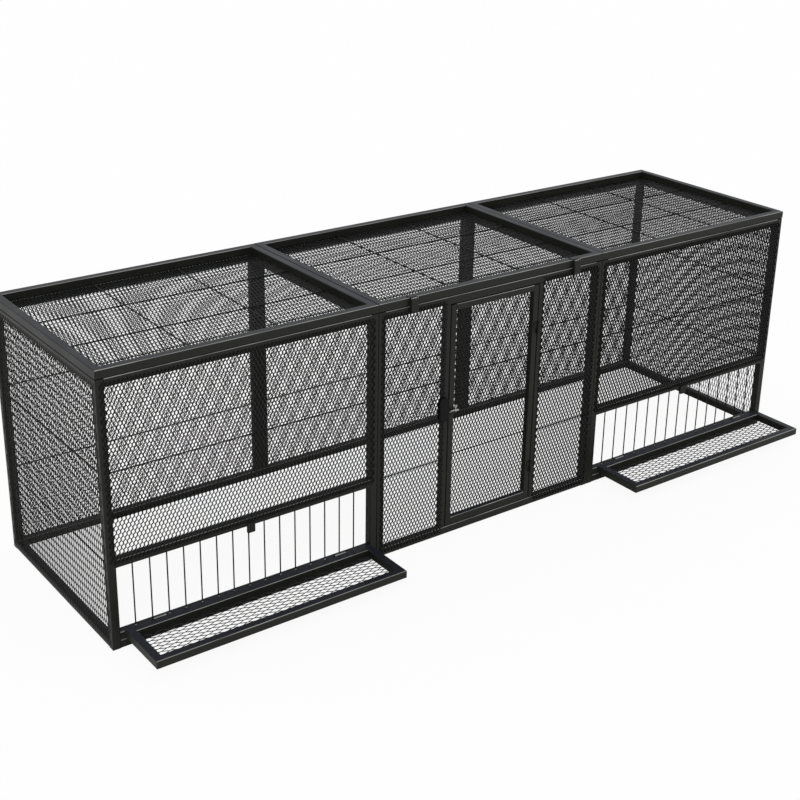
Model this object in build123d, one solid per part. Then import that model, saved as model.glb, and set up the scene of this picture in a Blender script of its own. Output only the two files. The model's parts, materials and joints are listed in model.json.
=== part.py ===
from build123d import *
import math
import os

# Pigeon cage: three framed bays side by side, a door and a lid in the middle bay,
# a feed grille with a fold-up tray in each outer bay. Millimetres, +Z up, open below.
# The origin is at the middle of the footprint, on the ground. X runs along the cage,
# and the front, with the door and the trays, faces -Y.

# Overall sizes
bay_width = 880.0
cage_depth = 700.0
body_height = 800.0
bay_gap = 1.0

# Square steel tube of the frames, and the lighter tube of the door
tube_size = 25.0
tube_wall = 1.5
tube_corner = 2.5
door_tube = 20.0
door_tube_wall = 1.2
door_bottom_rail = 25.0

# Expanded metal: each opening here stands for a block of the finer real ones
mesh_thickness = 1.5
mesh_strand = 7.0
mesh_short_way = 110.0
mesh_long_way = 220.0
mesh_border = 6.0
mesh_lap = 14.0
jamb_lap = 4.5
wire_diameter = 4.0
wires_per_wall = 2

# Feed grille of the outer bays
feed_header_base = 250.0
bar_diameter = 4.0
bar_count = 15

# Fold-up feed tray
tray_reach = 188.0
tray_side_gap = 7.0
tray_back_gap = 12.0
tray_base = 39.0
tray_hinge_inset = 107.5
tray_rest_inset = 187.5
tray_rest_width = 20.0
tray_rest_gap = 0.3
catch_width = 25.0
catch_height = 30.0
catch_gap = 0.3

# Door in the middle bay
door_width = 346.0
door_gap = 3.0
door_hinge_heights = (141.0, 627.0)

# Hinges: rolled knuckles on flat leaves, with a pin fixed in one knuckle
knuckle_radius = 5.0
knuckle_length = 19.0
knuckle_gap = 0.5
pin_radius = 2.5
pin_clearance = 0.05
leaf_thickness = 2.5
leaf_width = 14.0
leaf_gap = 0.5
lid_leaf_width = 10.0
lid_hinge_inset = 114.5
tray_knuckle_radius = 4.5
tray_leaf_thickness = 3.0
tray_leaf_height = 20.0

# Lid seat and its two hanging catches
lid_seat_gap = 0.4
lid_catch_inset = 94.5
lid_catch_width = 25.0
lid_catch_drop = 48.0
lid_catch_sheet = 2.0
lid_catch_front_gap = 0.8
lid_catch_back_gap = 0.7
lid_catch_end_radius = 5.0
bracket_reach = 18.0
bracket_width = 16.0
catch_pin_radius = 2.0
catch_side_gap = 0.5

# Door latch: a barrel bolt on the door and a moulded keeper on the jamb
bolt_height = 426.0
bolt_radius = 3.5
bolt_clearance = 0.1
bolt_length = 35.0
bolt_tip_gap = 5.0
bolt_travel = 16.0
sleeve_wall = 2.0
sleeve_length = 15.0
sleeve_inset = 1.0
sleeve_plate = 2.0
sleeve_plate_height = 16.0
bolt_stem_radius = 1.5
bolt_stem_inset = 25.0
bolt_stem_rise = 11.0
bolt_eye_radius = 5.0
bolt_eye_hole = 2.6
bolt_eye_thickness = 2.4
keeper_width = 38.0
keeper_height = 80.0
keeper_depth = 14.0
keeper_bevel = 3.0
keeper_edge_from_door = 8.0
keeper_rise = 15.0
keeper_pad = 7.0

# Bolts that join the bays
join_bolt_radius = 3.0
join_hole_clearance = 0.3
join_head_width = 10.0
join_head_height = 4.0
join_nut_height = 5.0
join_bolt_heights = (310.0, 700.0)

# Places worked out from the sizes above
lid_hinge_reach = leaf_gap + 2 * knuckle_radius
tray_front = tray_back_gap + tray_reach
front_y = (tray_front - cage_depth - lid_hinge_reach) / 2
back_y = front_y + cage_depth
frame_width = bay_width - bay_gap
half_frame = frame_width / 2
opening_half = half_frame - tube_size
top_rail_base = body_height - tube_size
feed_base = 2 * tube_size
feed_header_top = feed_header_base + tube_size
roof_base = body_height + mesh_thickness
lid_base = roof_base + lid_seat_gap
door_half = door_width / 2
door_base = tube_size + door_gap
door_top = top_rail_base - door_gap
jamb_inner = door_half + door_gap
jamb_outer = jamb_inner + door_tube
wire_radius = wire_diameter / 2
tray_top = tray_base + tube_size
tray_half = opening_half - tray_side_gap
tray_hinge_offset = tray_half - tray_hinge_inset
tray_rest_offset = tray_half - tray_rest_inset
lid_hinge_offset = opening_half - lid_hinge_inset
lid_catch_offset = opening_half - lid_catch_inset
tray_back_y = front_y - tray_back_gap
tray_front_y = front_y - tray_front


def block(x0, x1, y0, y1, z0, z1):
    """A solid between two corners, given as low and high values on each axis."""
    middle = Pos((x0 + x1) / 2, (y0 + y1) / 2, (z0 + z1) / 2)
    return middle * Box(abs(x1 - x0), abs(y1 - y0), abs(z1 - z0))


def rounded(piece, axis, radius):
    """Rounds the long edges of a tube, or of the space in it."""
    return fillet(piece.edges().filter_by(axis), radius)


def hollow(outer, wall, along):
    """Square tube from its outer corners, hollow along one axis and open at both ends."""
    inner = []
    for name, (low, high) in zip("xyz", outer):
        inner += [low, high] if name == along else [low + wall, high - wall]
    flat = [value for pair in outer for value in pair]
    axis = {"x": Axis.X, "y": Axis.Y, "z": Axis.Z}[along]
    space = rounded(block(*inner), axis, tube_corner - wall)
    return rounded(block(*flat), axis, tube_corner) - space


def prism(points, start, height, plane):
    """A closed outline on a plane, carried along the plane's normal from start."""
    outline = Polyline(*points, close=True)
    return extrude(plane.offset(start) * make_face(outline), height)


def mitred_ring(x0, x1, y0, y1, z0, size, wall):
    """Four hollow tubes laid in a level rectangle, each cut at 45 degrees at both ends."""
    corners = [(x0, y0), (x1, y0), (x1, y1), (x0, y1)]
    rails = []
    for index, start in enumerate(corners):
        end = corners[(index + 1) % len(corners)]
        length = math.dist(start, end)
        along = ((end[0] - start[0]) / length, (end[1] - start[1]) / length)

        def place(point, depth, step):
            return (
                point[0] - along[1] * depth + along[0] * step,
                point[1] + along[0] * depth + along[1] * step,
            )

        mitred = [place(start, 0, 0), place(end, 0, 0), place(end, size, -size), place(start, size, size)]
        far = size - wall
        straight = [place(start, wall, 0), place(end, wall, 0), place(end, far, 0), place(start, far, 0)]
        axis = Axis.X if index % 2 == 0 else Axis.Y
        tube = rounded(prism(mitred, z0, size, Plane.XY), axis, tube_corner)
        space = prism(straight, z0 + wall, size - 2 * wall, Plane.XY)
        rails.append(tube - rounded(space, axis, tube_corner - wall))
    return rails


def diamond_sheet(width, height, short_way, long_way):
    """Flat sheet, centred on its plane, with staggered diamond openings cut off at its border.

    short_way is the opening's pitch along the sheet's first direction, long_way along the second.
    """
    span_u, span_v = width - 2 * mesh_border, height - 2 * mesh_border
    columns = max(1, round(span_u / short_way))
    rows = max(1, round(span_v / long_way))
    pitch_u, pitch_v = span_u / columns, span_v / rows
    side_distance = pitch_u * pitch_v / 2 / math.hypot(pitch_u, pitch_v)
    shrink = 1 - mesh_strand / 2 / side_distance
    half_u, half_v = pitch_u / 2 * shrink, pitch_v / 2 * shrink

    def opening(u, v):
        corners = [(half_u, 0), (0, half_v), (-half_u, 0), (0, -half_v)]
        cut = []
        at_border = False
        for du, dv in corners:
            inside_u = min(max(u + du, 0), span_u)
            inside_v = min(max(v + dv, 0), span_v)
            at_border = at_border or (inside_u, inside_v) != (u + du, v + dv)
            if (inside_u, inside_v) not in cut:
                cut.append((inside_u, inside_v))
        if at_border and (u, v) not in cut:
            cut.append((u, v))
        return [(a - span_u / 2, b - span_v / 2) for a, b in cut]

    centres = [(i * pitch_u, j * pitch_v) for i in range(columns + 1) for j in range(rows + 1)]
    centres += [((i + 0.5) * pitch_u, (j + 0.5) * pitch_v) for i in range(columns) for j in range(rows)]
    holes = [Wire(Polyline(*opening(u, v), close=True).edges()) for u, v in centres]
    outer = Wire(Rectangle(width, height).edges())
    return Face(outer, holes)


def wall_mesh(x0, x1, z0, z1, y_front):
    """Expanded metal in an upright plane that faces along Y, its long way upright."""
    face = diamond_sheet(x1 - x0, z1 - z0, mesh_short_way, mesh_long_way)
    plane = Plane(origin=((x0 + x1) / 2, y_front, (z0 + z1) / 2), x_dir=(1, 0, 0), z_dir=(0, -1, 0))
    return extrude(plane * face, -mesh_thickness)


def end_mesh(y0, y1, z0, z1, x_low):
    """Expanded metal in an upright plane that faces along X."""
    face = diamond_sheet(y1 - y0, z1 - z0, mesh_short_way, mesh_long_way)
    plane = Plane(origin=(x_low, (y0 + y1) / 2, (z0 + z1) / 2), x_dir=(0, 1, 0), z_dir=(1, 0, 0))
    return extrude(plane * face, mesh_thickness)


def level_mesh(x0, x1, y0, y1, z_low, long_along_x):
    """Expanded metal lying level."""
    ways = (mesh_long_way, mesh_short_way) if long_along_x else (mesh_short_way, mesh_long_way)
    face = diamond_sheet(x1 - x0, y1 - y0, *ways)
    plane = Plane(origin=((x0 + x1) / 2, (y0 + y1) / 2, z_low))
    return extrude(plane * face, mesh_thickness)


def rod(start, end, radius):
    """Round bar from one point to another."""
    reach = Vector(*end) - Vector(*start)
    plane = Plane(origin=start, z_dir=reach)
    return extrude(plane * Circle(radius), reach.length)


def save(name, *pieces):
    """Writes the pieces of one node as separate solids."""
    solids = [solid for piece in pieces for solid in piece.solids()]
    for number, solid in enumerate(solids):
        solid.label = f"{name}_{number}"
    export_step(Compound(children=solids), f"parts/{name}.step")


def meets_a_bay(x_side):
    """Whether a bay's side, given by its outer face, stands against the next bay."""
    return abs(x_side) < bay_width


def posts(x_mid):
    """The four corner posts of a bay, drilled where a neighbouring bay is bolted on."""
    made = []
    for side in (-1, 1):
        x_out = x_mid + side * half_frame
        x_in = x_out - side * tube_size
        span_x = (min(x_in, x_out), max(x_in, x_out))
        for y0 in (front_y, back_y - tube_size):
            post = hollow((span_x, (y0, y0 + tube_size), (0, body_height)), tube_wall, "z")
            if meets_a_bay(x_out):
                for height in join_bolt_heights:
                    centre_y = y0 + tube_size / 2
                    hole = join_bolt_radius + join_hole_clearance
                    post -= rod((span_x[0], centre_y, height), (span_x[1], centre_y, height), hole)
            made.append(post)
    return made


def rails(x_mid):
    """The rails of a bay between its posts. Where bays meet, the ground is left clear for the birds."""
    made = []
    for z0 in (0, top_rail_base):
        span_z = (z0, z0 + tube_size)
        for y0 in (front_y, back_y - tube_size):
            span_x = (x_mid - opening_half, x_mid + opening_half)
            made.append(hollow((span_x, (y0, y0 + tube_size), span_z), tube_wall, "x"))
        span_y = (front_y + tube_size, back_y - tube_size)
        for side in (-1, 1):
            x_out = x_mid + side * half_frame
            if z0 == 0 and meets_a_bay(x_out):
                continue
            span_x = sorted((x_out, x_out - side * tube_size))
            made.append(hollow((span_x, span_y, span_z), tube_wall, "y"))
    return made


def wall_heights(low, high):
    """Heights of the stiffening wires that fall on a panel."""
    heights = [body_height * (n + 1) / (wires_per_wall + 1) for n in range(wires_per_wall)]
    return [height for height in heights if low < height - wire_radius and height + wire_radius < high]


def wires_along_x(x0, x1, y_mid, low, high):
    return [rod((x0, y_mid, z), (x1, y_mid, z), wire_radius) for z in wall_heights(low, high)]


def wires_along_y(y0, y1, x_mid, low, high):
    return [rod((x_mid, y0, z), (x_mid, y1, z), wire_radius) for z in wall_heights(low, high)]


def roof_parts(x_mid, base):
    """A mitred roof frame, the mesh under it and the wires that lie on the mesh."""
    x0, x1 = x_mid - half_frame, x_mid + half_frame
    ring = mitred_ring(x0, x1, front_y, back_y, base, tube_size, tube_wall)
    lap = tube_size - mesh_lap
    mesh = level_mesh(x0 + lap, x1 - lap, front_y + lap, back_y - lap, base - mesh_thickness, False)
    wires = []
    inner_x = (x0 + tube_size, x1 - tube_size)
    inner_y = (front_y + tube_size, back_y - tube_size)
    for n in range(wires_per_wall):
        share = (n + 1) / (wires_per_wall + 1)
        y_wire = inner_y[0] + (inner_y[1] - inner_y[0]) * share
        x_wire = inner_x[0] + (inner_x[1] - inner_x[0]) * share
        low, high = base + wire_radius, base + 3 * wire_radius
        wires.append(rod((inner_x[0], y_wire, low), (inner_x[1], y_wire, low), wire_radius))
        wires.append(rod((x_wire, inner_y[0], high), (x_wire, inner_y[1], high), wire_radius))
    return ring, mesh, wires


def back_wall(x_mid):
    """The mesh on the back of a bay, and the wires behind it."""
    reach = opening_half + mesh_lap
    low, high = tube_size - mesh_lap, top_rail_base + mesh_lap
    mesh = wall_mesh(x_mid - reach, x_mid + reach, low, high, back_y)
    wires = wires_along_x(
        x_mid - opening_half, x_mid + opening_half, back_y - wire_radius, tube_size, top_rail_base
    )
    return mesh, wires


def feed_grille(x_mid):
    """Two rails across the front of an outer bay, with upright bars between them."""
    span_x = (x_mid - opening_half, x_mid + opening_half)
    span_y = (front_y, front_y + tube_size)
    across = [
        hollow((span_x, span_y, (tube_size, feed_base)), tube_wall, "x"),
        hollow((span_x, span_y, (feed_header_base, feed_header_top)), tube_wall, "x"),
    ]
    pitch = 2 * opening_half / (bar_count + 1)
    y_bar = front_y + tube_size / 2
    bars = []
    for n in range(bar_count):
        x_bar = span_x[0] + pitch * (n + 1)
        bars.append(rod((x_bar, y_bar, feed_base), (x_bar, y_bar, feed_header_base), bar_diameter / 2))
    return across, bars


# Where the tray turns: just behind its back face, just above the rail below the bars
tray_axis_y = front_y - tray_leaf_thickness - tray_knuckle_radius
tray_axis_z = tray_top - pin_radius + leaf_gap
# How far the folded tray's face then stands off the cage's front
folded_standoff = front_y - (tray_axis_y + tray_top - tray_axis_z)


def tray_frame(x_mid):
    """The tray's mitred frame and the mesh below it, as the tray lies open."""
    x0, x1 = x_mid - tray_half, x_mid + tray_half
    ring = mitred_ring(x0, x1, tray_front_y, tray_back_y, tray_base, tube_size, tube_wall)
    lap = tube_size - mesh_lap
    mesh = level_mesh(
        x0 + lap, x1 - lap, tray_front_y + lap, tray_back_y - lap, tray_base - mesh_thickness, True
    )
    return ring, mesh


def tray_hinges(x_mid):
    """Two hinges behind the tray: the cage's half carries the pin, the tray's half turns on it."""
    fixed, turning = [], []
    leaf_base = feed_base - tray_leaf_height
    for side in (-1, 1):
        x_hinge = x_mid + side * tray_hinge_offset
        x_fixed = (x_hinge - knuckle_length - knuckle_gap / 2, x_hinge - knuckle_gap / 2)
        x_turning = (x_hinge + knuckle_gap / 2, x_hinge + knuckle_gap / 2 + knuckle_length)
        axis = (tray_axis_y, tray_axis_z)
        leaf = block(*x_fixed, front_y - tray_leaf_thickness, front_y, leaf_base, tray_axis_z)
        knuckle = rod((x_fixed[0], *axis), (x_fixed[1], *axis), tray_knuckle_radius)
        web = block(*x_fixed, tray_axis_y, front_y, tray_axis_z - pin_radius, tray_axis_z)
        pin = rod((x_fixed[1], *axis), (x_turning[1], *axis), pin_radius)
        fixed.append(leaf + knuckle + web + pin)
        barrel = rod((x_turning[0], *axis), (x_turning[1], *axis), tray_knuckle_radius)
        tray_leaf = block(*x_turning, tray_back_y, tray_axis_y, tray_base, tray_axis_z)
        bore = rod((x_turning[0], *axis), (x_turning[1], *axis), pin_radius + pin_clearance)
        turning.append(barrel + tray_leaf - bore)
    return fixed, turning


def tray_rests(x_mid):
    """Lugs on the rail below the bars, which the open tray's back rail bears on."""
    made = []
    for side in (-1, 1):
        x_lug = x_mid + side * tray_rest_offset
        span_x = (x_lug - tray_rest_width / 2, x_lug + tray_rest_width / 2)
        made.append(block(*span_x, tray_back_y + tray_rest_gap, front_y, tray_base, feed_base))
    return made


def tray_catch(x_mid):
    """Square pad on the header, where the folded tray's outer rail comes to rest."""
    thickness = folded_standoff - catch_gap
    top = feed_header_top - mesh_lap - leaf_gap
    span_x = (x_mid - catch_width / 2, x_mid + catch_width / 2)
    pad = block(*span_x, front_y - thickness, front_y, top - catch_height, top)
    return fillet(pad.edges().filter_by(Axis.Y), leaf_thickness)


def outer_bay(name, side):
    """An outer bay with its fixed roof, end wall, feed grille and fold-up tray."""
    x_mid = side * bay_width
    save(f"{name}_posts", *posts(x_mid))
    save(f"{name}_rails", *rails(x_mid))
    across, bars = feed_grille(x_mid)
    save(f"{name}_feed_rails", *across)
    save(f"{name}_feed_bars", *bars)
    reach = opening_half + mesh_lap
    low, high = feed_header_top - mesh_lap, top_rail_base + mesh_lap
    save(f"{name}_front_mesh", wall_mesh(x_mid - reach, x_mid + reach, low, high, front_y - mesh_thickness))
    back_mesh, wires = back_wall(x_mid)
    save(f"{name}_back_mesh", back_mesh)
    x_face = x_mid + side * half_frame
    x_low = x_face if side > 0 else x_face - mesh_thickness
    lap = tube_size - mesh_lap
    save(f"{name}_end_mesh", end_mesh(front_y + lap, back_y - lap, lap, body_height - lap, x_low))
    span_x = (x_mid - opening_half, x_mid + opening_half)
    wires += wires_along_x(*span_x, front_y + wire_radius, feed_header_top, top_rail_base)
    span_y = (front_y + tube_size, back_y - tube_size)
    wires += wires_along_y(*span_y, x_face - side * wire_radius, tube_size, top_rail_base)
    save(f"{name}_wall_wires", *wires)
    ring, mesh, roof_wires = roof_parts(x_mid, roof_base)
    save(f"{name}_roof_frame", *ring)
    save(f"{name}_roof_mesh", mesh)
    save(f"{name}_roof_wires", *roof_wires)
    save(f"{name}_tray_catch", tray_catch(x_mid))
    save(f"{name}_tray_rests", *tray_rests(x_mid))
    ring, mesh = tray_frame(x_mid)
    save(f"{name}_tray_frame", *ring)
    save(f"{name}_tray_mesh", mesh)
    fixed, turning = tray_hinges(x_mid)
    save(f"{name}_tray_hinge_leaves", *fixed)
    save(f"{name}_tray_hinge_knuckles", *turning)


def middle_bay():
    """The middle bay's fixed frame, with jambs that leave the doorway between them."""
    save("middle_posts", *posts(0))
    save("middle_rails", *rails(0))
    jambs = []
    panels = []
    wires = []
    for side in (-1, 1):
        jamb_x = sorted((side * jamb_inner, side * jamb_outer))
        span_z = (tube_size, top_rail_base)
        jambs.append(hollow((jamb_x, (front_y, front_y + door_tube), span_z), door_tube_wall, "z"))
        x_edges = sorted((side * (jamb_outer - jamb_lap), side * (opening_half + mesh_lap)))
        low, high = tube_size - mesh_lap, top_rail_base + mesh_lap
        panels.append(wall_mesh(*x_edges, low, high, front_y - mesh_thickness))
        span_x = sorted((side * jamb_outer, side * opening_half))
        wires += wires_along_x(*span_x, front_y + wire_radius, tube_size, top_rail_base)
    save("door_jambs", *jambs)
    save("middle_front_mesh", *panels)
    back_mesh, back_wires = back_wall(0)
    save("middle_back_mesh", back_mesh)
    save("middle_wall_wires", *wires, *back_wires)


# Hinge line of the door: in front of the gap between its stile and the jamb
door_axis_x = door_half + door_gap / 2
door_axis_y = front_y - leaf_gap - knuckle_radius


def door_hinges():
    """Two hinges: the lower knuckle and pin on the jamb, the upper knuckle on the door."""
    fixed, turning = [], []
    for height in door_hinge_heights:
        z_fixed = (height - knuckle_gap / 2 - knuckle_length, height - knuckle_gap / 2)
        z_turning = (height + knuckle_gap / 2, height + knuckle_gap / 2 + knuckle_length)
        axis = (door_axis_x, door_axis_y)
        jamb_leaf_x = (jamb_inner, jamb_inner + leaf_width)
        leaf = block(*jamb_leaf_x, front_y - leaf_thickness, front_y, *z_fixed)
        web = block(door_axis_x, jamb_inner, door_axis_y, front_y - leaf_gap, *z_fixed)
        knuckle = rod((*axis, z_fixed[0]), (*axis, z_fixed[1]), knuckle_radius)
        pin = rod((*axis, z_fixed[1]), (*axis, z_turning[1]), pin_radius)
        fixed.append(leaf + web + knuckle + pin)
        stile_leaf_x = (door_half - leaf_width, door_half)
        leaf = block(*stile_leaf_x, front_y - leaf_thickness, front_y, *z_turning)
        web = block(door_half, door_axis_x, door_axis_y, front_y - leaf_gap, *z_turning)
        knuckle = rod((*axis, z_turning[0]), (*axis, z_turning[1]), knuckle_radius)
        bore = rod((*axis, z_turning[0]), (*axis, z_turning[1]), pin_radius + pin_clearance)
        turning.append(leaf + web + knuckle - bore)
    return fixed, turning


def door():
    """The door: stiles and rails of the lighter tube, mesh on its back, one wire per panel third."""
    span_y = (front_y, front_y + door_tube)
    stile_inner = door_half - door_tube
    pieces = []
    for stile_x in ((-door_half, -stile_inner), (stile_inner, door_half)):
        pieces.append(hollow((stile_x, span_y, (door_base, door_top)), door_tube_wall, "z"))
    cross_x = (-stile_inner, stile_inner)
    bottom = (door_base, door_base + door_bottom_rail)
    top = (door_top - door_tube, door_top)
    for span_z in (bottom, top):
        pieces.append(hollow((cross_x, span_y, span_z), door_tube_wall, "x"))
    save("door_frame", *pieces)
    reach = stile_inner + mesh_lap
    mesh = wall_mesh(-reach, reach, bottom[1] - mesh_lap, top[0] + mesh_lap, span_y[1])
    save("door_mesh", mesh)
    wires = wires_along_x(-stile_inner, stile_inner, span_y[1] - wire_radius, bottom[1], top[0])
    save("door_wires", *wires)
    fixed, turning = door_hinges()
    save("door_hinge_leaves", *fixed)
    save("door_hinge_knuckles", *turning)


# The bolt's line, and the keeper's edge that it points at
bolt_y = front_y - sleeve_plate - bolt_radius - bolt_clearance
keeper_edge = -door_half - keeper_edge_from_door
bolt_tip = keeper_edge + bolt_tip_gap


def door_latch():
    """Keeper on the jamb, slotted sleeve on the stile, and the bolt that slides in both."""
    back = front_y - mesh_thickness
    height = bolt_height + keeper_rise
    x_mid = keeper_edge - keeper_width / 2
    plane = Plane(origin=(x_mid, back, height), x_dir=(1, 0, 0), z_dir=(0, -1, 0))
    straight = keeper_height - keeper_width
    body = extrude(plane * SlotCenterToCenter(straight, keeper_width, rotation=90), keeper_depth)
    body = chamfer(body.faces().sort_by(Axis.Y)[0].edges(), keeper_bevel)
    pad_x = (keeper_edge - keeper_pad, keeper_edge)
    pad_half = straight / 2
    body += block(*pad_x, back, front_y, height - pad_half, height + pad_half)
    mouth = bolt_radius + bolt_clearance
    pocket_end = bolt_tip - bolt_travel - bolt_clearance
    body -= rod((keeper_edge, bolt_y, bolt_height), (pocket_end, bolt_y, bolt_height), mouth)
    save("door_keeper", body)

    sleeve_x = (-door_half + sleeve_inset, -door_half + sleeve_inset + sleeve_length)
    sleeve_radius = mouth + sleeve_wall
    plate_z = (bolt_height - sleeve_plate_height / 2, bolt_height + sleeve_plate_height / 2)
    plate = block(*sleeve_x, front_y - sleeve_plate, front_y, *plate_z)
    barrel = rod((sleeve_x[0], bolt_y, bolt_height), (sleeve_x[1], bolt_y, bolt_height), sleeve_radius)
    behind = block(*sleeve_x, front_y, front_y + sleeve_radius, *plate_z)
    bore = rod((sleeve_x[0], bolt_y, bolt_height), (sleeve_x[1], bolt_y, bolt_height), mouth)
    stem_x = bolt_tip + bolt_stem_inset
    slot_half = bolt_stem_radius + bolt_clearance
    slot_start = stem_x - bolt_travel - slot_half
    slot_top = bolt_height + sleeve_radius
    slot = block(slot_start, sleeve_x[1], bolt_y - slot_half, bolt_y + slot_half, bolt_height, slot_top)
    save("door_bolt_sleeve", plate + barrel - behind - bore - slot)

    bar = rod((bolt_tip, bolt_y, bolt_height), (bolt_tip + bolt_length, bolt_y, bolt_height), bolt_radius)
    bar = chamfer(bar.faces().sort_by(Axis.X)[0].edges(), bolt_radius / 3)
    stem_top = bolt_height + bolt_stem_rise
    stem = rod((stem_x, bolt_y, bolt_height), (stem_x, bolt_y, stem_top), bolt_stem_radius)
    eye_start = bolt_y - bolt_eye_thickness / 2
    eye_plane = Plane(origin=(stem_x, eye_start, stem_top + bolt_eye_hole), z_dir=(0, 1, 0))
    eye = extrude(eye_plane * (Circle(bolt_eye_radius) - Circle(bolt_eye_hole)), bolt_eye_thickness)
    save("door_bolt", bar + stem + eye)


# Hinge line of the lid: behind the cage, between the lid and the top rail
lid_axis_y = back_y + leaf_gap + knuckle_radius
lid_axis_z = (body_height + lid_base) / 2


def lid_hinges():
    """Two hinges at the back: the cage's half carries the pin, the lid's half turns on it."""
    fixed, turning = [], []
    axis = (lid_axis_y, lid_axis_z)
    for side in (-1, 1):
        x_hinge = side * lid_hinge_offset
        x_fixed = (x_hinge - knuckle_gap / 2 - knuckle_length, x_hinge - knuckle_gap / 2)
        x_turning = (x_hinge + knuckle_gap / 2, x_hinge + knuckle_gap / 2 + knuckle_length)
        leaf = block(*x_fixed, back_y, back_y + leaf_thickness, body_height - lid_leaf_width, body_height)
        web = block(*x_fixed, back_y + leaf_gap, lid_axis_y, body_height - pin_radius, body_height)
        knuckle = rod((x_fixed[0], *axis), (x_fixed[1], *axis), knuckle_radius)
        pin = rod((x_fixed[1], *axis), (x_turning[1], *axis), pin_radius)
        fixed.append(leaf + web + knuckle + pin)
        leaf = block(*x_turning, back_y, back_y + leaf_thickness, lid_base, lid_base + lid_leaf_width)
        web = block(*x_turning, back_y + leaf_gap, lid_axis_y, lid_base, lid_base + pin_radius)
        knuckle = rod((x_turning[0], *axis), (x_turning[1], *axis), knuckle_radius)
        bore = rod((x_turning[0], *axis), (x_turning[1], *axis), pin_radius + pin_clearance)
        turning.append(leaf + web + knuckle - bore)
    return fixed, turning


# Pivot of the lid's catches, in front of the lid's front rail
lid_top = lid_base + tube_size
bracket_knuckle = catch_pin_radius + lid_catch_sheet
catch_axis_y = front_y - lid_catch_sheet - bracket_knuckle
catch_axis_z = lid_top + lid_catch_sheet - lid_catch_end_radius


def catch_bracket(x_mid):
    """Bent strip on the lid's front rail, with a knuckle and the pin that the catch hangs on."""
    half = bracket_width / 2
    span_x = (x_mid - half, x_mid + half)
    wide_x = (x_mid - lid_catch_width / 2, x_mid + lid_catch_width / 2)
    strip_y = (front_y - lid_catch_sheet, front_y)
    over = block(*wide_x, front_y, front_y + bracket_reach, lid_top, lid_top + lid_catch_sheet)
    bend = block(*span_x, *strip_y, lid_top, lid_top + lid_catch_sheet)
    down = block(*span_x, *strip_y, catch_axis_z - bracket_knuckle, lid_top)
    axis = (catch_axis_y, catch_axis_z)
    knuckle = rod((span_x[0], *axis), (span_x[1], *axis), bracket_knuckle)
    web = block(*span_x, catch_axis_y, front_y, catch_axis_z - bracket_knuckle, catch_axis_z)
    pin_half = lid_catch_width / 2
    pin = rod((x_mid - pin_half, *axis), (x_mid + pin_half, *axis), catch_pin_radius)
    return over + bend + down + knuckle + web + pin


def lid_catch(x_mid):
    """Pressed channel that hangs on the bracket's pin, in front of the lid and the top rail."""
    plate_back = catch_axis_y - bracket_knuckle - lid_catch_front_gap
    plate_front = plate_back - lid_catch_sheet
    side_back = front_y - mesh_thickness - lid_catch_back_gap
    bottom = lid_top + lid_catch_sheet - lid_catch_drop
    half = lid_catch_width / 2
    flanges = []
    for x0 in (x_mid - half, x_mid + half - lid_catch_sheet):
        span_x = (x0, x0 + lid_catch_sheet)
        flange = block(*span_x, plate_front, side_back, bottom, catch_axis_z)
        ends = ((x0, catch_axis_y, catch_axis_z), (x0 + lid_catch_sheet, catch_axis_y, catch_axis_z))
        flange += rod(*ends, lid_catch_end_radius)
        flange -= rod(*ends, catch_pin_radius + pin_clearance)
        flanges.append(flange)
    plate_x = (x_mid - half, x_mid + half)
    plate = block(*plate_x, plate_front, plate_back, bottom, catch_axis_z)
    return flanges[0] + plate + flanges[1]


def lid():
    """The middle bay's roof, hinged at the back and held by two catches in front."""
    ring, mesh, wires = roof_parts(0, lid_base)
    save("lid_frame", *ring)
    save("lid_mesh", mesh)
    save("lid_wires", *wires)
    fixed, turning = lid_hinges()
    save("lid_hinge_leaves", *fixed)
    save("lid_hinge_knuckles", *turning)
    catch_places = (-lid_catch_offset, lid_catch_offset)
    save("lid_catch_brackets", *[catch_bracket(x_mid) for x_mid in catch_places])
    for name, x_mid in zip(("lid_catch_left", "lid_catch_right"), catch_places):
        save(name, lid_catch(x_mid))


def joining_bolts():
    """Hexagon bolts and nuts through the paired posts where two bays meet."""
    made = []
    for side in (-1, 1):
        x_join = side * bay_width / 2
        reach = bay_gap / 2 + tube_size
        for y0 in (front_y, back_y - tube_size):
            y_mid = y0 + tube_size / 2
            for height in join_bolt_heights:
                head_plane = Plane(origin=(x_join - reach, y_mid, height), z_dir=(-1, 0, 0))
                corner_radius = join_head_width / math.sqrt(3)
                hexagon = RegularPolygon(corner_radius, 6)
                head = extrude(head_plane * hexagon, join_head_height)
                shank_end = x_join + reach + join_nut_height
                start = (x_join - reach, y_mid, height)
                shank = rod(start, (shank_end, y_mid, height), join_bolt_radius)
                nut_plane = Plane(origin=(x_join + reach, y_mid, height), z_dir=(1, 0, 0))
                nut_ring = hexagon - Circle(join_bolt_radius + pin_clearance)
                made.append(head + shank)
                made.append(extrude(nut_plane * nut_ring, join_nut_height))
    save("joining_bolts", *made)


os.makedirs("parts", exist_ok=True)
outer_bay("left", -1)
outer_bay("right", 1)
middle_bay()
door()
door_latch()
lid()
joining_bolts()
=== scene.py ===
import json
import math
from itertools import product
import bpy
import numpy as np
from mathutils import Matrix, Vector

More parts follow.
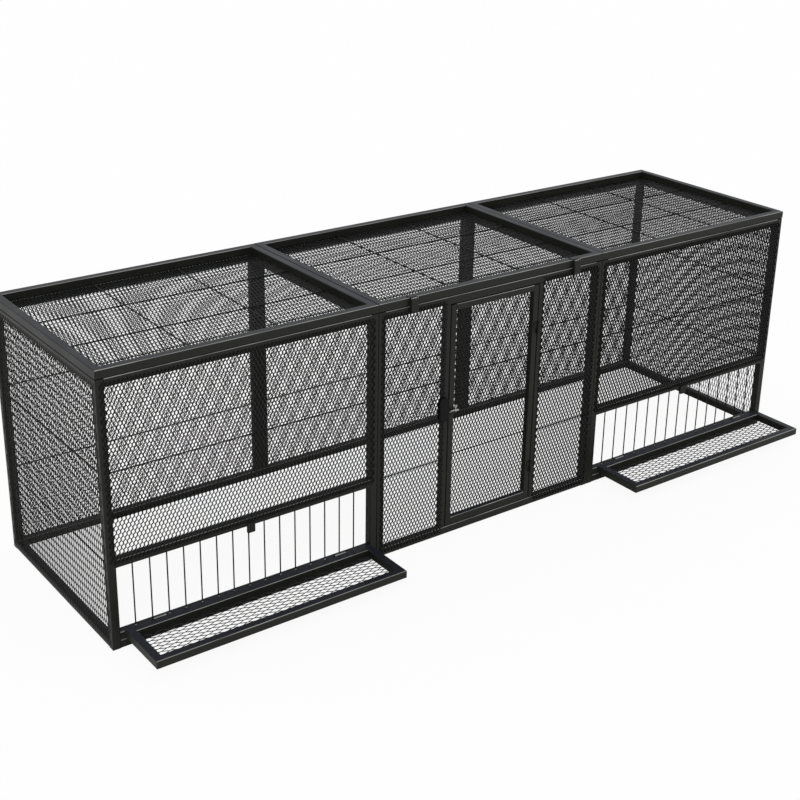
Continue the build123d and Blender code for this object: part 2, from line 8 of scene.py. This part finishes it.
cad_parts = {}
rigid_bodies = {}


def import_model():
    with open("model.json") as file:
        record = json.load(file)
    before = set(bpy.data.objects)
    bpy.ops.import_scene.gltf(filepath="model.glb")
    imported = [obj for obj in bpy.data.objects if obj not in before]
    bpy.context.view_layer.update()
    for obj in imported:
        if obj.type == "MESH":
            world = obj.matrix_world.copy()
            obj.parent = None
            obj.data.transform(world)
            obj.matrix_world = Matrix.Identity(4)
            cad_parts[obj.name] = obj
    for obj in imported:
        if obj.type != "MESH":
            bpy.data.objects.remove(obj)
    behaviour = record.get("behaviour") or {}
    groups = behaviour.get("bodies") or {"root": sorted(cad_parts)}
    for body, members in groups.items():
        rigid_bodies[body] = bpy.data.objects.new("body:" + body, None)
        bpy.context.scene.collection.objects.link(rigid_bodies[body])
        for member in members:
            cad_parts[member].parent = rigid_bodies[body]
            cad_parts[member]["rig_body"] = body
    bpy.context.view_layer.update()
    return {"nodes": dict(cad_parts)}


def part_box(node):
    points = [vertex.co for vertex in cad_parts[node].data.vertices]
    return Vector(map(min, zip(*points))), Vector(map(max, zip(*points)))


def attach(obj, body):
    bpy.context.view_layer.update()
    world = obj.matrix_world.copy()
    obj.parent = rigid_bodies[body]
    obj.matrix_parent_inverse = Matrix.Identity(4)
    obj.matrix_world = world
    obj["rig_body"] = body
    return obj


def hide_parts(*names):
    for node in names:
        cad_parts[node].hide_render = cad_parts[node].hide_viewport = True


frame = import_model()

nodes = frame["nodes"]
mm = 0.001
print("frame loaded:", len(nodes), "nodes")


# helpers for materials

def linear(hexColour):
    # sRGB hex to linear: the low part is divided by 12.92, the rest raised to 2.4
    parts = [int(hexColour[i:i + 2], 16) / 255 for i in (1, 3, 5)]
    return tuple(p / 12.92 if p <= 0.04045 else ((p + 0.055) / 1.055) ** 2.4 for p in parts) + (1.0,)


def addNode(tree, kind, options={}, inputs={}):
    # one node with its settings, its values and its links; an input is named or numbered
    node = tree.nodes.new(kind)
    for name, value in options.items():
        setattr(node, name, value)
    for name, value in inputs.items():
        if isinstance(value, bpy.types.NodeSocket):
            tree.links.new(value, node.inputs[name])
        else:
            node.inputs[name].default_value = value
    return node


def newMaterial(name):
    material = bpy.data.materials.new(name)
    material.use_nodes = True
    material.node_tree.nodes.clear()
    return material, material.node_tree


def finishMaterial(tree, shaderSocket):
    addNode(tree, "ShaderNodeOutputMaterial", {}, {"Surface": shaderSocket})


def objectPlace(tree):
    return addNode(tree, "ShaderNodeTexCoord").outputs["Object"]


def noise(tree, place, size, detail):
    # clouds that are about this many mm across
    inputs = {"Vector": place, "Scale": 1 / (size * mm), "Detail": detail}
    return addNode(tree, "ShaderNodeTexNoise", {}, inputs).outputs["Fac"]


def ramp(tree, value, low, high, atLow=0.0, atHigh=1.0):
    # a straight ramp from one value to the other, level beyond them
    inputs = {"Value": value, "From Min": low, "From Max": high, "To Min": atLow, "To Max": atHigh}
    return addNode(tree, "ShaderNodeMapRange", {}, inputs).outputs[0]


def combine(tree, operation, first, second):
    return addNode(tree, "ShaderNodeMath", {"operation": operation}, {0: first, 1: second}).outputs[0]


def mixColours(tree, share, first, second):
    inputs = {0: share, 6: first, 7: second}
    return addNode(tree, "ShaderNodeMix", {"data_type": "RGBA"}, inputs).outputs[2]


def bump(tree, height, rise, strength):
    # relief that rises this many mm where the height is one
    inputs = {"Height": height, "Distance": rise * mm, "Strength": strength}
    return addNode(tree, "ShaderNodeBump", {}, inputs).outputs["Normal"]


# Powder coat: polyester powder baked on steel. It flows out to a satin skin with a faint
# orange peel, a little thinner and shinier in places, and holds pale dust on what faces up;
# what faces up is also painted a bluer tone as painted light from above, and the tubes'
# upper front corners carry a painted highlight.
coatSettings = dict(
    cloudSize=160,  # mm across a patch where the coat's depth drifts
    roughness=0.40,
    roughSpread=0.10,
    roughSpan=(0.3, 0.7),  # of the clouds, from the shiniest places to the dullest
    specular=0.16,
    paintedTopLight="#1e2129",  # painted light: what looks up is painted a bluer tone, for the light from above
    topLightAndDustSpan=(0.35, 0.95),  # of the normal's height, from none of that painted tone and of the dust to all of it
    dust="#4a4b4a",
    dustShare=0.10,
    speckSize=3,  # mm between dust specks, real specks are finer
    speckSpan=(0.58, 0.75),  # of the noise, from no speck to its middle
    paintedEdgeHighlight="#a5a6a1",  # painted highlight along the upper front corners, as if they caught a lamp from the front and above
    edgeHighlightShare=0.85,
    cornerSpan=(0.99, 0.90),  # of the normal's largest part, from a flat side to a corner
    upperSpan=(0.15, 0.45),  # of the normal's height
    forwardSpan=(-0.1, -0.5),  # of the normal along Y, whose minus side is the front
    cloudSpan=(0.3, 0.6),  # of the clouds, from the faintest painted highlight to the strongest
    leastEdgeHighlight=0.35,
    peelSize=7,  # mm; real orange peel is about 2 mm, drawn coarser so that it shows
    peelHeight=0.05,  # mm
    peelStrength=0.6,
)

# one powder, with its tone matched on each kind of stock: painted darker on the mesh and darker still on
# the wires as painted shade, and each kind takes its own share of the painted top light and dust
coatKinds = dict(
    tube=dict(colour="#1c1d1a", tint="#21221f", topLightAndDustShare=0.85, cornerHighlightAndPeel=True),
    mesh=dict(colour="#191a18", tint="#1f201e", topLightAndDustShare=0.5, cornerHighlightAndPeel=False),
    wire=dict(colour="#0d0e0d", tint="#191a18", topLightAndDustShare=0.2, cornerHighlightAndPeel=False),
)


def paintedCornerHighlight(tree, normal, height, ahead, cloud, s=coatSettings):
    # painted highlight: a corner's face looks along no axis, so the largest part of its normal is well
    # under one;
    # only the upper corners that look forwards are painted lighter, as a lamp from the front and above
    # would light them, and not evenly
    size = addNode(tree, "ShaderNodeVectorMath", {"operation": "ABSOLUTE"}, {0: normal}).outputs[0]
    parts = addNode(tree, "ShaderNodeSeparateXYZ", {}, {0: size}).outputs
    larger = combine(tree, "MAXIMUM", parts["X"], parts["Y"])
    corner = ramp(tree, combine(tree, "MAXIMUM", larger, parts["Z"]), *s["cornerSpan"])
    upper = ramp(tree, height, *s["upperSpan"], 0.0, s["edgeHighlightShare"])
    forwards = ramp(tree, ahead, *s["forwardSpan"])
    uneven = ramp(tree, cloud, *s["cloudSpan"], s["leastEdgeHighlight"], 1.0)
    shown = combine(tree, "MULTIPLY", upper, combine(tree, "MULTIPLY", forwards, uneven))
    return combine(tree, "MULTIPLY", corner, shown)


def powderCoat(name, colour, tint, topLightAndDustShare, cornerHighlightAndPeel):
    s = coatSettings
    material, tree = newMaterial(name)
    place = objectPlace(tree)
    cloud = noise(tree, place, s["cloudSize"], 3.0)
    normal = addNode(tree, "ShaderNodeNewGeometry").outputs["Normal"]
    ways = addNode(tree, "ShaderNodeSeparateXYZ", {}, {0: normal}).outputs
    # painted light: faces that look up take the bluer top tone by this share, and only they hold dust
    up = ramp(tree, ways["Z"], *s["topLightAndDustSpan"], 0.0, topLightAndDustShare)
    speck = ramp(tree, noise(tree, place, s["speckSize"], 2.0), *s["speckSpan"], 0.0, s["dustShare"])
    coat = mixColours(tree, cloud, linear(colour), linear(tint))
    coat = mixColours(tree, up, coat, linear(s["paintedTopLight"]))
    coat = mixColours(tree, combine(tree, "MULTIPLY", speck, up), coat, linear(s["dust"]))
    if cornerHighlightAndPeel:
        # painted highlight on the upper front corners of the tubes
        highlight = paintedCornerHighlight(tree, normal, ways["Z"], ways["Y"], cloud)
        coat = mixColours(tree, highlight, coat, linear(s["paintedEdgeHighlight"]))
    spread = s["roughSpread"] / 2
    rough = ramp(tree, cloud, *s["roughSpan"], s["roughness"] - spread, s["roughness"] + spread)
    shader = addNode(tree, "ShaderNodeBsdfPrincipled", {}, {
        "Base Color": coat, "Roughness": rough, "Specular IOR Level": s["specular"]})
    if cornerHighlightAndPeel:
        peel = bump(tree, noise(tree, place, s["peelSize"], 1.0), s["peelHeight"], s["peelStrength"])
        tree.links.new(peel, shader.inputs["Normal"])
    finishMaterial(tree, shader.outputs[0])
    return material


# Zinc-plated steel: turned bar with a bright passivated plating, fine rings from the lathe
zincSettings = dict(
    colour="#c9cac8",
    shade="#9b9c9a",
    blotchSize=6,  # mm
    roughness=0.28,
    ringPitch=0.9,  # mm
    ringWobble=0.4,
    ringHeight=0.02,  # mm
    ringStrength=0.5,
)


def zincPlated(name):
    s = zincSettings
    material, tree = newMaterial(name)
    place = objectPlace(tree)
    blotch = noise(tree, place, s["blotchSize"], 3.0)
    colour = mixColours(tree, blotch, linear(s["colour"]), linear(s["shade"]))
    # a wave texture's bands come every 0.314 of the place times its scale
    rings = addNode(tree, "ShaderNodeTexWave", {"bands_direction": "X"}, {
        "Vector": place, "Scale": 0.314 / (s["ringPitch"] * mm), "Distortion": s["ringWobble"]})
    turned = bump(tree, rings.outputs["Fac"], s["ringHeight"], s["ringStrength"])
    shader = addNode(tree, "ShaderNodeBsdfPrincipled", {}, {
        "Base Color": colour, "Metallic": 1.0, "Roughness": s["roughness"], "Normal": turned})
    finishMaterial(tree, shader.outputs[0])
    return material


# Glass-filled nylon: moulded black, spark-eroded mould texture, so a soft grey sheen
nylonSettings = dict(
    colour="#050505",
    tint="#0a0a0a",
    roughness=0.46,
    specular=0.12,
    grainSize=1.2,  # mm
    grainHeight=0.03,  # mm
    grainStrength=0.7,
)


def mouldedNylon(name):
    s = nylonSettings
    material, tree = newMaterial(name)
    grain = noise(tree, objectPlace(tree), s["grainSize"], 2.0)
    colour = mixColours(tree, grain, linear(s["colour"]), linear(s["tint"]))
    shader = addNode(tree, "ShaderNodeBsdfPrincipled", {}, {
        "Base Color": colour, "Roughness": s["roughness"], "Specular IOR Level": s["specular"],
        "Normal": bump(tree, grain, s["grainHeight"], s["grainStrength"])})
    finishMaterial(tree, shader.outputs[0])
    return material


coatedTube = powderCoat("powderCoatedTube", **coatKinds["tube"])
coatedMesh = powderCoat("powderCoatedExpandedMetal", **coatKinds["mesh"])
coatedWire = powderCoat("powderCoatedWire", **coatKinds["wire"])
platedSteel = zincPlated("zincPlatedSteel")
keeperNylon = mouldedNylon("mouldedNylon")
print("materials made")


# camera at the photograph's angle
cameraSettings = dict(
    place=(-2.645, -3.325, 2.196),
    turn=36.62,  # degrees from straight ahead, towards +X
    down=21.74,
    roll=1.01,
    focal=1407,  # in pixels of the frame
    frameWidth=800,  # pixels
    sensorWidth=36,  # mm
    shift=-0.0625,
    farthest=200,
)


def makeCamera(s):
    # the forward direction from the two angles, then the image's right and up turned by the roll
    a, e, r = (math.radians(s[k]) for k in ("turn", "down", "roll"))
    forward = Vector((math.sin(a) * math.cos(e), math.cos(a) * math.cos(e), -math.sin(e)))
    right = Vector((math.cos(a), -math.sin(a), 0))
    up = right.cross(forward)
    imageRight = math.cos(r) * right + math.sin(r) * up
    imageUp = -math.sin(r) * right + math.cos(r) * up
    data = bpy.data.cameras.new("camera")
    data.sensor_width = s["sensorWidth"]
    data.lens = s["focal"] / s["frameWidth"] * s["sensorWidth"]
    data.shift_y = s["shift"]
    data.clip_end = s["farthest"]
    camera = bpy.data.objects.new("camera", data)
    bpy.context.scene.collection.objects.link(camera)
    turned = Matrix((imageRight, imageUp, -forward)).transposed().to_4x4()
    camera.matrix_world = Matrix.Translation(s["place"]) @ turned
    bpy.context.scene.camera = camera


makeCamera(cameraSettings)


# helpers for shapes

def boxOf(node):
    return (np.array(corner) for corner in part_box(node))


def addPiece(name, points, faces, material, body, slot, smooth=False):
    # whole arrays of points and equal-sided faces straight into a mesh
    mesh = bpy.data.meshes.new(name)
    points = np.ascontiguousarray(points, dtype=np.float32).reshape(-1, 3)
    faces = np.ascontiguousarray(faces, dtype=np.int32)
    mesh.vertices.add(len(points))
    mesh.vertices.foreach_set("co", points.ravel())
    mesh.loops.add(faces.size)
    mesh.loops.foreach_set("vertex_index", faces.ravel())
    mesh.polygons.add(len(faces))
    mesh.polygons.foreach_set("loop_start", np.arange(0, faces.size, faces.shape[1], dtype=np.int32))
    mesh.polygons.foreach_set("use_smooth", np.full(len(faces), smooth))
    mesh.update(calc_edges=True)
    mesh.materials.append(material)
    piece = bpy.data.objects.new(name, mesh)
    bpy.context.scene.collection.objects.link(piece)
    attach(piece, body)
    return piece


def joined(parts):
    # several shapes as one, each part's faces counted on from the points before it
    counts = np.cumsum([0] + [len(points) for points, faces in parts[:-1]])
    allPoints = np.concatenate([points for points, faces in parts])
    return allPoints, np.concatenate([faces + count for (points, faces), count in zip(parts, counts)])


def repeated(quads, copies, pointsEach):
    # the same faces for each copy, counted on by the points that one copy has
    return (np.arange(copies)[:, None, None] * pointsEach + quads).reshape(-1, 4)


def ringQuads(rings, sides):
    # the four-sided faces between neighbouring rings of points
    r, k = np.meshgrid(np.arange(rings - 1), np.arange(sides), indexing="ij")
    a, b = r * sides + k, r * sides + (k + 1) % sides
    return np.stack([a, b, b + sides, a + sides], axis=-1).reshape(-1, 4)


def flatBars(starts, ends, widthWay, thickWay, halfWidth, halfThick):
    # closed bars: each corner is an end point plus or minus the two half sizes
    signs = np.array([[-1, -1], [1, -1], [1, 1], [-1, 1]])
    offsets = signs[:, :1] * widthWay * halfWidth + signs[:, 1:] * thickWay * halfThick
    points = np.stack([starts[:, None] + offsets, ends[:, None] + offsets], axis=1)
    sides = np.array([[0, 1, 5, 4], [1, 2, 6, 5], [2, 3, 7, 6], [3, 0, 4, 7], [0, 3, 2, 1], [4, 5, 6, 7]])
    return points.reshape(-1, 3), repeated(sides, len(starts), 8)


# expanded metal
# A slit sheet pulled open: every strand runs from the front of one knuckle to the back of the
# next, and strands and knuckles all lean the same way, which catches the light on one diagonal.
sheetSettings = dict(
    knuckle=2.6,  # mm, half the length of the joint between two strands
    knuckleWidth=1.8,  # times a strand's width
    strandEnd=0.7,  # of a knuckle's half length, where its strands begin
    shortest=0.02,  # of a strand's length; what a border leaves shorter is dropped
    proud=0.6,  # mm that a wall's strands stand outside the middle of their node
    railLap=9.0,  # mm that a front sheet laps down over its header rail
    jambLap=4.5,  # mm that the sheets beside the door lap over its jambs
)

# each sheet's own cut in mm; lean is the degrees that its strands turn about the long way, and
# its sign says which side out the sheet is hung
sheetKinds = dict(
    front=dict(longWay=24.0, shortWay=12.0, strandWidth=4.2, thickness=1.6, lean=-84),
    back=dict(longWay=24.0, shortWay=12.0, strandWidth=3.0, thickness=2.0, lean=-60),
    leftEnd=dict(longWay=48.0, shortWay=12.0, strandWidth=2.2, thickness=1.8, lean=30),
    rightEnd=dict(longWay=48.0, shortWay=12.0, strandWidth=2.2, thickness=1.8, lean=35),
    roof=dict(longWay=48.0, shortWay=12.0, strandWidth=3.2, thickness=1.8, lean=-30),
    tray=dict(longWay=48.0, shortWay=15.6, strandWidth=3.2, thickness=1.8, lean=40),
)


def clipped(starts, ends, halfShort, halfLong):
    # each line is cut at the four borders by the shares of its length that lie inside
    tiny = 1e-9
    step = ends - starts
    low, high = np.zeros(len(starts)), np.ones(len(starts))
    for axis, half in ((0, halfShort), (1, halfLong)):
        rate = np.where(np.abs(step[:, axis]) < tiny, tiny, step[:, axis])
        first, second = (-half - starts[:, axis]) / rate, (half - starts[:, axis]) / rate
        low = np.maximum(low, np.minimum(first, second))
        high = np.minimum(high, np.maximum(first, second))
    kept = high - low > sheetSettings["shortest"]
    return (starts + step * low[:, None])[kept], (starts + step * high[:, None])[kept]


def staggeredGrid(shortSpan, longSpan, pitchU, pitchV):
    # every second crossing of lines half a pitch apart, to just beyond the borders
    spare = 3
    columns, rows = int(shortSpan / pitchU) + spare, int(longSpan / pitchV) + spare
    i, j = np.meshgrid(np.arange(-columns, columns + 1), np.arange(-rows, rows + 1), indexing="ij")
    i, j = i.ravel(), j.ravel()
    grid = np.column_stack([i * pitchU / 2, j * pitchV / 2, np.zeros(len(i))])
    near = (np.abs(grid[:, 0]) < shortSpan / 2 + pitchU) & (np.abs(grid[:, 1]) < longSpan / 2 + pitchV)
    return grid[near & ((i + j) % 2 == 0)]


def expandedSheet(centre, shortWayAxis, longWayAxis, shortSpan, longSpan, kind, s=sheetSettings):
    # knuckles stand on a staggered grid; the strand to the upper right leaves a knuckle's right
    # half and ends on the next one's left half, and the strand to the upper left mirrors it
    cut = sheetKinds[kind]
    pitchU, pitchV = cut["shortWay"] * mm, cut["longWay"] * mm
    halfWidth, halfThick = cut["strandWidth"] * mm / 2, cut["thickness"] * mm / 2
    lean = math.radians(cut["lean"])
    knuckles = staggeredGrid(shortSpan, longSpan, pitchU, pitchV)
    side = np.array([halfWidth * math.cos(lean), 0, halfWidth * math.sin(lean)])
    rise = np.array([0, s["knuckle"] * mm * s["strandEnd"], 0])
    starts, ends = [], []
    for turn in (1, -1):
        nextOne = knuckles + np.array([turn * pitchU / 2, pitchV / 2, 0])
        starts.append(knuckles + turn * side + rise)
        ends.append(nextOne - turn * side - rise)
    strands = clipped(np.concatenate(starts), np.concatenate(ends), shortSpan / 2, longSpan / 2)
    reach = np.array([0, s["knuckle"] * mm, 0])
    joints = clipped(knuckles - reach, knuckles + reach, shortSpan / 2, longSpan / 2)
    u, v = np.array(shortWayAxis, float), np.array(longWayAxis, float)
    out = np.cross(u, v)
    way = np.array([u, v, out])
    widthWay = math.cos(lean) * u + math.sin(lean) * out
    thickWay = np.cross(v, widthWay)
    points, faces = joined([
        flatBars(first @ way, last @ way, widthWay, thickWay, width, halfThick)
        for (first, last), width in ((strands, halfWidth), (joints, s["knuckleWidth"] * halfWidth))])
    return points + np.array(centre, float), faces


def panelOf(node, s=sheetSettings):
    # which way the node's box is thin says how the sheet lies, and the sign of its place there
    # says which way it faces
    low, high = boxOf(node)
    middle, span = (low + high) / 2, high - low
    thin = int(np.argmin(span))
    if thin == 0:
        facing = np.sign(middle[0])
        kind = "leftEnd" if facing < 0 else "rightEnd"
        cut = sheetKinds[kind]
        # the sheet's outermost edges lie flush with the outside of the node's box
        reach = cut["strandWidth"] * math.sin(math.radians(cut["lean"])) + cut["thickness"] / 2
        centre = (middle[0] - facing * (reach * mm - span[0] / 2), middle[1], middle[2])
        return expandedSheet(centre, (0, 1, 0), (0, 0, 1), span[1], span[2], kind)
    if thin == 1:
        facing = -1 if middle[1] < 0 else 1
        kind = "front" if facing < 0 else "back"
        shift = 0 if node == "door_mesh" else facing * s["proud"] * mm
        spans = [(low[0], high[0])]
        if node == "middle_front_mesh":
            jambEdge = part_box("door_jambs")[1][0] - s["jambLap"] * mm
            spans = [(low[0], -jambEdge), (jambEdge, high[0])]
        centres = [((a + b) / 2, middle[1] + shift, middle[2]) for a, b in spans]
        return joined([
            expandedSheet(centre, (1, 0, 0), (0, 0, 1), b - a, span[2], kind)
            for centre, (a, b) in zip(centres, spans)])
    if "tray" in node:
        return expandedSheet(middle, (0, 1, 0), (1, 0, 0), span[1], span[0], "tray")
    return expandedSheet(middle, (1, 0, 0), (0, 1, 0), span[0], span[1], "roof")


triangles = 0
for node in [n for n in nodes if n.endswith("_mesh")]:
    points, faces = panelOf(node)
    name = node.replace("_mesh", "_expanded_metal")
    piece = addPiece(name, points, faces, coatedMesh, nodes[node]["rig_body"], "expanded_metal")
    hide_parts(node)
    triangles += len(faces) * 2
print("expanded metal made:", triangles, "triangles")


# weld beads, and the collars of weld round the ends of the feed bars, all in mm
beadSettings = dict(
    radius=1.9,
    ripple=0.16,  # share of the radius that the weld pool's ripples rise
    ripplePitch=2.6,
    rings=26,
    sides=8,
    bluntness=8,  # the higher this power, the nearer to its ends a bead stays full
    inset=2.5,  # a bead stops this far from the tube's corners
)
collarSettings = dict(
    profile=((3.4, 0.0), (2.89, 0.7), (2.0, 2.2)),  # radius and height of each ring
    sides=12,
    barRadius=2.0,
    bars=15,
)
tube, doorTube = 25 * mm, 20 * mm


def weldBeads(lines, s=beadSettings):
    # a round bar along each line: its radius rises and falls with the ripples, and draws in to a
    # point at both ends
    starts, ends = np.array(lines).transpose(1, 0, 2)
    share = np.linspace(0, 1, s["rings"])
    angle = np.linspace(0, 2 * math.pi, s["sides"], endpoint=False)
    step = ends - starts
    length = np.linalg.norm(step, axis=1)
    along = step / length[:, None]
    across = np.cross(along, np.where(np.abs(along[:, 2:]) > 0.5, [1.0, 0, 0], [0, 0, 1.0]))
    across /= np.linalg.norm(across, axis=1)[:, None]
    over = np.cross(along, across)
    cap = np.sqrt(np.clip(1 - np.abs(2 * share - 1) ** s["bluntness"], 0, 1))
    ripples = 2 * math.pi * share[None] * length[:, None] / (s["ripplePitch"] * mm)
    radius = s["radius"] * mm * cap[None] * (1 + s["ripple"] * np.sin(ripples))
    ring = across[:, None] * np.cos(angle)[None, :, None] + over[:, None] * np.sin(angle)[None, :, None]
    centre = starts[:, None] + step[:, None] * share[None, :, None]
    points = centre[:, :, None] + radius[:, :, None, None] * ring[:, None]
    quads = ringQuads(s["rings"], s["sides"])
    return points.reshape(-1, 3), repeated(quads, len(starts), s["rings"] * s["sides"])


def collars(places, s=collarSettings):
    # a low cone of weld round a bar: a ring at the rail, drawn in to the bar a little further on;
    # the rings of a cone that hangs are listed backwards, so that its faces look outwards too
    angle = np.linspace(0, 2 * math.pi, s["sides"], endpoint=False)
    circle = np.column_stack([np.cos(angle), np.sin(angle), np.zeros(s["sides"])])
    points = []
    for place, way in places:
        rings = [np.array(place) + circle * r * mm + (0, 0, way * h * mm) for r, h in s["profile"]]
        points += rings[::way]
    quads = ringQuads(len(s["profile"]), s["sides"])
    return np.concatenate(points), repeated(quads, len(places), len(s["profile"]) * s["sides"])


def acrossTube(x, y, z, width, inset=beadSettings["inset"] * mm):
    return (x, y + inset, z), (x, y + width - inset, z)


def alongWall(x, y, z, width, inset=beadSettings["inset"] * mm):
    return (x + inset, y, z), (x + width - inset, y, z)


def addBeads(name, lines, body):
    addPiece(name, *weldBeads(lines), coatedTube, body, "frame_tube", True)


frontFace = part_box("middle_posts")[0][1]
lines = []
for label in ("left", "middle", "right"):
    low, high = boxOf(label + "_posts")
    innerX, innerY = (low[0] + tube, high[0] - tube), (low[1] + tube, high[1] - tube)
    railEdges = (tube, high[2] - tube)
    lines += [acrossTube(x, y, z, tube) for y, x, z in product((low[1], innerY[1]), innerX, railEdges)]
    lines += [alongWall(x, y, z, tube) for x, y, z in product((low[0], innerX[1]), innerY, railEdges)]
    if label != "middle":
        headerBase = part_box(label + "_front_mesh")[0][2] + sheetSettings["railLap"] * mm - tube
        edges = (2 * tube, headerBase, headerBase + tube)
        lines += [acrossTube(x, low[1], z, tube) for x, z in product(innerX, edges)]
low, high = boxOf("door_jambs")
jambEdges = (low[0], low[0] + doorTube, high[0] - doorTube, high[0])
lines += [acrossTube(x, frontFace, z, doorTube) for x, z in product(jambEdges, (tube, high[2]))]
addBeads("frame_weld_beads", lines, "frame")

barEnds = []
for label in ("left", "right"):
    low, high = boxOf(label + "_feed_bars")
    y, radius = (low[1] + high[1]) / 2, collarSettings["barRadius"] * mm
    for x in np.linspace(low[0] + radius, high[0] - radius, collarSettings["bars"]):
        barEnds += [((x, y, low[2]), 1), ((x, y, high[2]), -1)]
addPiece("feed_bar_welds", *collars(barEnds), coatedTube, "frame", "frame_tube", True)

low, high = boxOf("door_frame")
stiles, rails = (low[0] + doorTube, high[0] - doorTube), (low[2] + tube, high[2] - doorTube)
addBeads("door_weld_beads", [acrossTube(x, low[1], z, doorTube) for x, z in product(stiles, rails)], "door")
print("weld beads made")


# materials and finish of the CAD nodes
finishes = dict(door_bolt=platedSteel, joining_bolts=platedSteel, door_keeper=keeperNylon)
# width of each softened edge in mm and its number of steps
softened = dict(
    door_keeper=(1.6, 4),
    door_bolt_sleeve=(0.4, 2),
    lid_catch_left=(0.5, 2),
    lid_catch_right=(0.5, 2),
    lid_catch_brackets=(0.4, 2),
    left_tray_catch=(0.8, 3),
    right_tray_catch=(0.8, 3),
)
softening = dict(sharperThan=35, mergeWithin=0.01)  # degrees and mm


def soften(node, width, steps, s=softening):
    weld = node.modifiers.new("weld", "WELD")
    weld.merge_threshold = s["mergeWithin"] * mm
    edge = node.modifiers.new("edges", "BEVEL")
    edge.width = width * mm
    edge.segments = steps
    edge.limit_method = "ANGLE"
    edge.angle_limit = math.radians(s["sharperThan"])
    edge.use_clamp_overlap = True
    edge.harden_normals = False


for name, node in nodes.items():
    wire = "wires" in name or name.endswith("feed_bars")
    material = finishes.get(name, coatedWire if wire else coatedTube)
    for place in node.material_slots:
        place.material = material
    if name in softened:
        soften(node, *softened[name])


# floor, world and lamp
studio = dict(
    floorColour="#fafafa",
    floorGlow=0.92,  # share of the floor that the camera sees as plain white; the rest takes shadow
    floorReach=40.0,
    worldLevel=0.80,
    lampLevel=0.75,
    lampSpread=35.0,  # degrees, for soft shadows
    lampWay=(-0.55, -0.75, 1.0),  # from the front left and above
)


def makeFloor(s):
    half = s["floorReach"]
    points = [(-half, -half, 0), (half, -half, 0), (half, half, 0), (-half, half, 0)]
    mesh = bpy.data.meshes.new("floor")
    mesh.from_pydata(points, [], [(0, 1, 2, 3)])
    material, tree = newMaterial("paleFloor")
    plain = addNode(tree, "ShaderNodeBsdfDiffuse", {}, {"Color": linear(s["floorColour"])})
    glow = addNode(tree, "ShaderNodeEmission", {}, {"Color": (1, 1, 1, 1), "Strength": 1.0})
    seen = addNode(tree, "ShaderNodeLightPath").outputs["Is Camera Ray"]
    share = combine(tree, "MULTIPLY", seen, s["floorGlow"])
    mixed = addNode(tree, "ShaderNodeMixShader", {}, {0: share, 1: plain.outputs[0], 2: glow.outputs[0]})
    finishMaterial(tree, mixed.outputs[0])
    mesh.materials.append(material)
    floor = bpy.data.objects.new("floor", mesh)
    bpy.context.scene.collection.objects.link(floor)


def makeWorld(s):
    world = bpy.data.worlds.new("studio")
    world.use_nodes = True
    tree = world.node_tree
    tree.nodes.clear()
    path = addNode(tree, "ShaderNodeLightPath").outputs
    seen = combine(tree, "MAXIMUM", path["Is Camera Ray"], path["Is Transmission Ray"])
    level = ramp(tree, seen, 0.0, 1.0, s["worldLevel"], 1.0)
    light = addNode(tree, "ShaderNodeBackground", {}, {"Color": (1, 1, 1, 1), "Strength": level})
    addNode(tree, "ShaderNodeOutputWorld", {}, {"Surface": light.outputs[0]})
    bpy.context.scene.world = world


def makeLamp(s):
    data = bpy.data.lights.new("softbox", "SUN")
    data.energy = s["lampLevel"]
    data.angle = math.radians(s["lampSpread"])
    lamp = bpy.data.objects.new("softbox", data)
    lamp.rotation_euler = Vector(s["lampWay"]).to_track_quat("Z", "Y").to_euler()
    bpy.context.scene.collection.objects.link(lamp)


makeFloor(studio)
makeWorld(studio)
makeLamp(studio)
bpy.context.scene.view_settings.view_transform = "Standard"
print("floor and light made")
